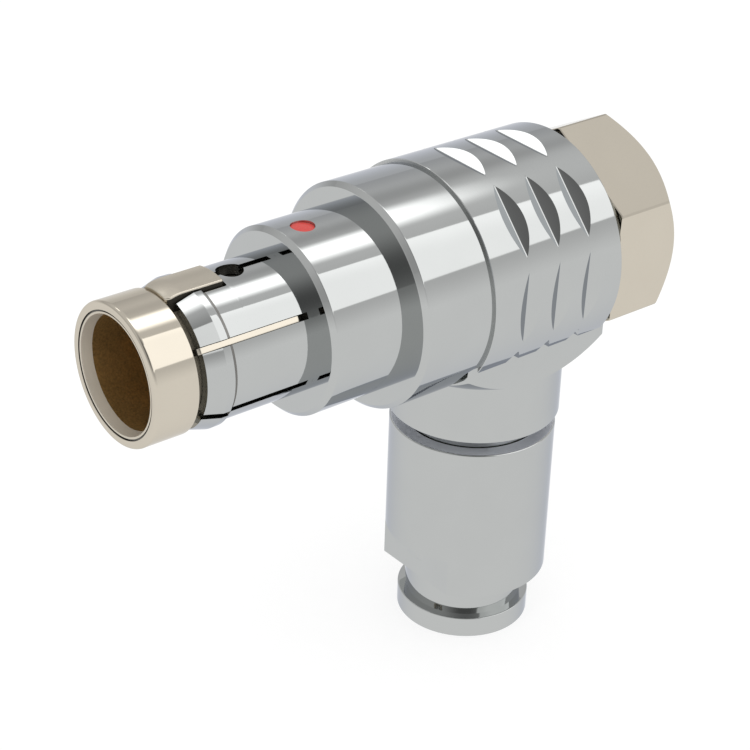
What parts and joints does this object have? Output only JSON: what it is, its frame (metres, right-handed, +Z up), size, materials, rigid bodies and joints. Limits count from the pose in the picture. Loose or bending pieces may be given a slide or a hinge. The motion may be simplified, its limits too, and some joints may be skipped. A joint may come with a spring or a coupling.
{
  "type": "right-angle push pull circular plug",
  "caption": "Right-angle circular plug with a keyed nose, spring latch fingers, a sliding release sleeve, a hexagonal rear cap and a cable nut below.",
  "frame": {"origin": "centre of the end ring's lower face, on the cable axis, where the cable goes in", "axes": "+Z up along the cable axis to the barrel, -Y along the barrel towards the nose, the key and dot on top at +Z"},
  "size_m": [0.0118, 0.0307, 0.0273],
  "materials": {
    "chrome_shell": "polished satin chrome",
    "nickel_shell": "warm nickel",
    "red_enamel": "gloss",
    "insulator": "moulded, matt",
    "liner": "matt",
    "gold_contact": "gold plated",
    "seal_rubber": "matt",
    "clamp_brass": "turned"
  },
  "bodies": {
    "plug_body": {"inner_shell": "nickel_shell", "elbow_body": "chrome_shell", "rear_cap": "nickel_shell", "collet_nut": "chrome_shell", "cable_bushing": "chrome_shell", "clamp_washer": "clamp_brass", "cable_seal": "seal_rubber", "collet": "clamp_brass", "insulator_front": "insulator", "insulator_rear": "insulator", "contact_pin_1": "gold_contact", "contact_pin_2": "gold_contact", "contact_pin_3": "gold_contact", "contact_pin_4": "gold_contact", "contact_pin_5": "gold_contact", "insert_lock_ring": "clamp_brass", "insulating_liner": "liner", "cap_seal": "seal_rubber"},
    "latch_release": {"release_sleeve": "chrome_shell", "latch_sleeve": "chrome_shell", "red_dot": "red_enamel"}
  },
  "joints": [
    {"name": "release_slide", "type": "slide", "parent": "plug_body", "child": "latch_release", "axis": [0, 1, 0], "range_m": [0, 0.0004], "stiffness_N_per_m": 2000}
  ]
}
